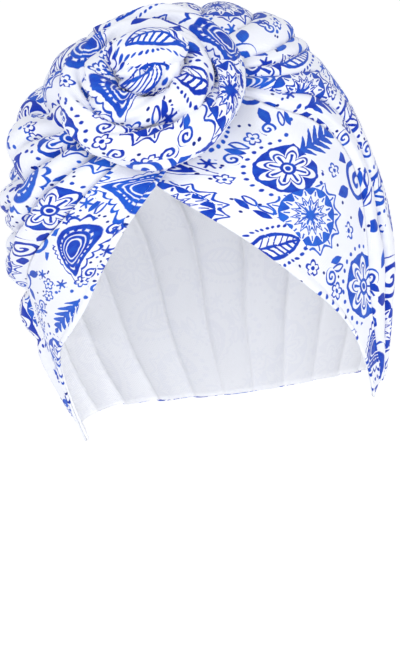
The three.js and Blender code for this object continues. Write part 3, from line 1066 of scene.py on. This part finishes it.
def add_relief(tree, height, depth, strength=1.0):
    """Relief that many millimetres deep on a material's surface."""
    bump = tree.nodes.new("ShaderNodeBump")
    bump.inputs["Strength"].default_value = strength
    bump.inputs["Distance"].default_value = depth * MM
    tree.links.new(height, bump.inputs["Height"])
    tree.links.new(bump.outputs[0], tree.nodes["Principled BSDF"].inputs["Normal"])


def jersey(name, offset, strength=1.0, white=WHITE, shade=SHADE_WHITE):
    """Printed jersey: the pattern over white cloth, with a fine knit in the bump."""
    material = plain(name, white, JERSEY_ROUGHNESS)
    tree = material.node_tree
    shader = tree.nodes["Principled BSDF"]
    total, dots, light = print_fields(tree, offset)
    light = light.join("MULTIPLY_ADD", LIGHT_CONTRAST, LIGHT_START, clamp=True)
    blue = mix_colour(tree, light, ROYAL, SKY)
    blue = mix_colour(tree, dots * DOT_DARKNESS, blue, NAVY)
    patch = tree.nodes.new("ShaderNodeTexNoise")
    patch.noise_dimensions = "2D"
    patch.inputs["Scale"].default_value = PATCH_SCALE
    uv = next(node for node in tree.nodes if node.type == "UVMAP")
    tree.links.new(uv.outputs[0], patch.inputs["Vector"])
    patches = Field(tree, patch.outputs["Fac"])
    ground = mix_colour(tree, patches * PATCH_SHADE, white, shade)
    colour = mix_colour(tree, total * strength, ground, blue)
    tree.links.new(colour, shader.inputs["Base Color"])
    split = tree.nodes.new("ShaderNodeSeparateXYZ")
    tree.links.new(uv.outputs[0], split.inputs[0])
    wales = (Field(tree, split.outputs[0]) * (2 * math.pi / (WALE * MM))).sine()
    courses = abs((Field(tree, split.outputs[1]) * (math.pi / (COURSE * MM))).sine())
    add_relief(tree, (wales * WALE_SHARE + courses).socket, KNIT_RELIEF, KNIT_STRENGTH)
    rough = patches.scale_add(JERSEY_PATCHES, JERSEY_ROUGHNESS)
    tree.links.new(rough.socket, shader.inputs["Roughness"])
    for gloss, value in JERSEY_GLOSS.items():
        shader.inputs[gloss].default_value = value
    return material


def thread():
    """White sewing thread, its plies as fine slanting ridges."""
    material = plain("thread", THREAD_WHITE, THREAD_ROUGHNESS)
    tree = material.node_tree
    place = tree.nodes.new("ShaderNodeTexCoord")
    plies = tree.nodes.new("ShaderNodeTexWave")
    plies.bands_direction = "DIAGONAL"
    plies.inputs["Scale"].default_value = PLY_SCALE
    tree.links.new(place.outputs["Object"], plies.inputs["Vector"])
    add_relief(tree, plies.outputs["Fac"], PLY_RELIEF)
    return material


def dress(piece, node, face, reverse):
    """Gives a piece its materials, attaches it to the body and hides the solid it stands for."""
    piece.data.materials.append(face)
    piece.data.materials.append(reverse)
    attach(piece, BODY)
    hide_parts(node)


# Camera: the photo's view, turned and rolled about the middle of the form
VIEW_AZIMUTH = 7.0
VIEW_ELEVATION = 8.0
VIEW_ROLL = 11.5
VIEW_DISTANCE = 1.5
PIXELS_PER_MM = 2.146
PICTURE_WIDTH = 400
PICTURE_HEIGHT = 666
HEAD_PIXEL = (195.1, 225.1)
SENSOR = 36.0


def add_camera():
    azimuth = math.radians(VIEW_AZIMUTH)
    elevation = math.radians(VIEW_ELEVATION)
    roll = math.radians(VIEW_ROLL)
    back = Vector((math.sin(azimuth) * math.cos(elevation), -math.cos(azimuth) * math.cos(elevation),
                   math.sin(elevation)))
    level = Vector((0, 0, 1)).cross(back).normalized()
    steep = back.cross(level)
    right = level * math.cos(roll) - steep * math.sin(roll)
    up = level * math.sin(roll) + steep * math.cos(roll)
    centre = Vector((0, 0, -CROWN_TOP * MM))
    aside = (PICTURE_WIDTH / 2 - HEAD_PIXEL[0]) / PIXELS_PER_MM * MM
    lower = (PICTURE_HEIGHT / 2 - HEAD_PIXEL[1]) / PIXELS_PER_MM * MM
    target = centre + right * aside - up * lower
    data = bpy.data.cameras.new("camera")
    data.sensor_fit = "AUTO"
    data.sensor_width = SENSOR
    data.lens = SENSOR * VIEW_DISTANCE / (PICTURE_HEIGHT / PIXELS_PER_MM * MM)
    camera = bpy.data.objects.new("camera", data)
    camera.matrix_world = matrix_from(right, up, back, target + back * VIEW_DISTANCE)
    bpy.context.scene.collection.objects.link(camera)
    bpy.context.scene.camera = camera


def matrix_from(right, up, back, place):
    matrix = Matrix((right, up, back)).transposed().to_4x4()
    matrix.translation = place
    return matrix


# Lights, in metres and watts: name, place, size and power, all turned to LIT_PLACE
LIT_PLACE = (0, 0, -0.08)
LIGHTS = (
    ("key", (-0.35, -1.15, 1.3), 0.6, 12),
    ("fill", (1.3, -1.0, 0.2), 1.0, 3),
    ("face", (0.2, -1.4, -0.5), 0.8, 7),
)

# Floor, in metres: a round one that sweeps up at its rim, so no edge of it shows
FLOOR_LEVEL = -0.42
FLOOR_REACH = 9.0
FLOOR_COVE = 4.0
FLOOR_SIDES = 48
FLOOR_COVE_STEPS = 9
FLOOR_WHITE = (0.93, 0.93, 0.94, 1)
FLOOR_ROUGHNESS = 0.9
FLOOR_GLOW = 0.38
STUDIO_WHITE = (0.97, 0.98, 1.0, 1)
STUDIO_STRENGTH = 0.62


def add_light(name, place, size, power):
    data = bpy.data.lights.new(name, "AREA")
    data.size = size
    data.energy = power
    lamp = bpy.data.objects.new(name, data)
    lamp.location = place
    towards = Vector(LIT_PLACE) - Vector(place)
    lamp.rotation_euler = towards.to_track_quat("-Z", "Y").to_euler()
    bpy.context.scene.collection.objects.link(lamp)


def add_floor():
    mesh = bpy.data.meshes.new("floor")
    sides = np.radians(np.arange(0, 360, 360 / FLOOR_SIDES))
    corners = [(0, 0, FLOOR_LEVEL)]
    for angle in np.radians(np.linspace(0, 90, FLOOR_COVE_STEPS)):
        out = FLOOR_REACH + FLOOR_COVE * math.sin(angle)
        height = FLOOR_LEVEL + FLOOR_COVE * (1 - math.cos(angle))
        corners += [(out * math.cos(side), out * math.sin(side), height) for side in sides]
    faces = [(0, 1 + k, 1 + (k + 1) % FLOOR_SIDES) for k in range(FLOOR_SIDES)]
    for ring in range(FLOOR_COVE_STEPS - 1):
        lower = 1 + ring * FLOOR_SIDES
        upper = lower + FLOOR_SIDES
        for k in range(FLOOR_SIDES):
            after = (k + 1) % FLOOR_SIDES
            faces.append((lower + k, upper + k, upper + after, lower + after))
    mesh.from_pydata(corners, [], faces)
    floor = add_piece("floor", mesh)
    surface = plain("floor", FLOOR_WHITE, FLOOR_ROUGHNESS)
    shader = surface.node_tree.nodes["Principled BSDF"]
    shader.inputs["Emission Color"].default_value = (1, 1, 1, 1)
    shader.inputs["Emission Strength"].default_value = FLOOR_GLOW
    floor.data.materials.append(surface)


def add_studio():
    world = bpy.data.worlds.new("studio")
    world.use_nodes = True
    sky = world.node_tree.nodes["Background"]
    sky.inputs["Color"].default_value = STUDIO_WHITE
    sky.inputs["Strength"].default_value = STUDIO_STRENGTH
    bpy.context.scene.world = world
    for name, place, size, power in LIGHTS:
        add_light(name, place, size, power)
    bpy.context.scene.view_settings.view_transform = "Standard"


def make_wrap():
    # The reverse gets paler whites than the face: painted light for the shaded inside of the wrap
    reverse = jersey("jersey_reverse", REVERSE_PRINT, SHOW_THROUGH, REVERSE_WHITE_PAINTED_LIGHT, REVERSE_PATCH_WHITE_PAINTED_LIGHT)
    crown = make_crown()
    dress(crown, "crown_cap", jersey("jersey_crown", CROWN_PRINT), reverse)
    right_band = make_band("right_band", RIGHT_BAND, False, RIGHT_BAND_SEED)
    right_cloth = jersey("jersey_right_band", RIGHT_BAND_PRINT)
    dress(right_band, "front_band_right", right_cloth, reverse)
    left_band = make_band("left_band", LEFT_BAND, True, LEFT_BAND_SEED)
    left_cloth = jersey("jersey_left_band", LEFT_BAND_PRINT)
    dress(left_band, "front_band_left", left_cloth, reverse)
    tree, inputs = stitch_tree(thread())
    right_row = make_stitches("right_stitches", RIGHT_BAND, False, RIGHT_BAND_SEED, tree, inputs)
    left_row = make_stitches("left_stitches", LEFT_BAND, True, LEFT_BAND_SEED, tree, inputs)
    coil = make_coil()
    rosette_cloth = jersey("jersey_rosette", ROSETTE_PRINT)
    dress(coil, "rosette_coil", rosette_cloth, reverse)
    bud = make_bud()
    dress(bud, "rosette_bud", rosette_cloth, reverse)


add_camera()
add_floor()
add_studio()
make_wrap()
